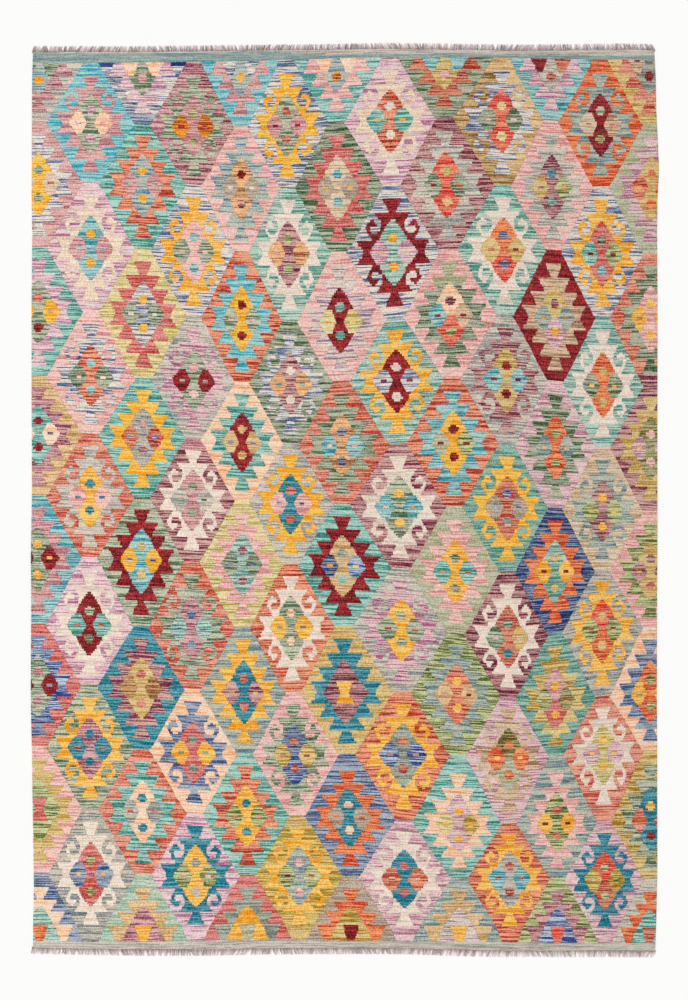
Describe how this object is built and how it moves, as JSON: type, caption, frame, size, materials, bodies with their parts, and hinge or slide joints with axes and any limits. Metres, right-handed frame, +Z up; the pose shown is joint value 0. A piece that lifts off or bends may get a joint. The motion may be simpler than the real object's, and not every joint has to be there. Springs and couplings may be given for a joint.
{
  "type": "kilim rug",
  "caption": "Flat-woven wool floor rug with a lattice of stepped and hooked hexagons in many colours and a short fringe along each end.",
  "frame": {"origin": "under the middle of the rug's bounding box, on the surface that the rug lies on", "axes": "+Z up out of the cloth's face, +Y along the warp towards the end with the sea-green band, +X across the rug along its weft"},
  "size_m": [2.0129, 2.9321, 0.003],
  "materials": {
    "woven_wool": "matte slit-tapestry weave of hand-spun wool, streaked within each colour",
    "warp_ends": "matte twisted yarn, undyed taupe grey with paler tips"
  },
  "bodies": {
    "root": {"cloth": "woven_wool", "fringe_far": "warp_ends", "fringe_near": "warp_ends"}
  },
  "joints": []
}
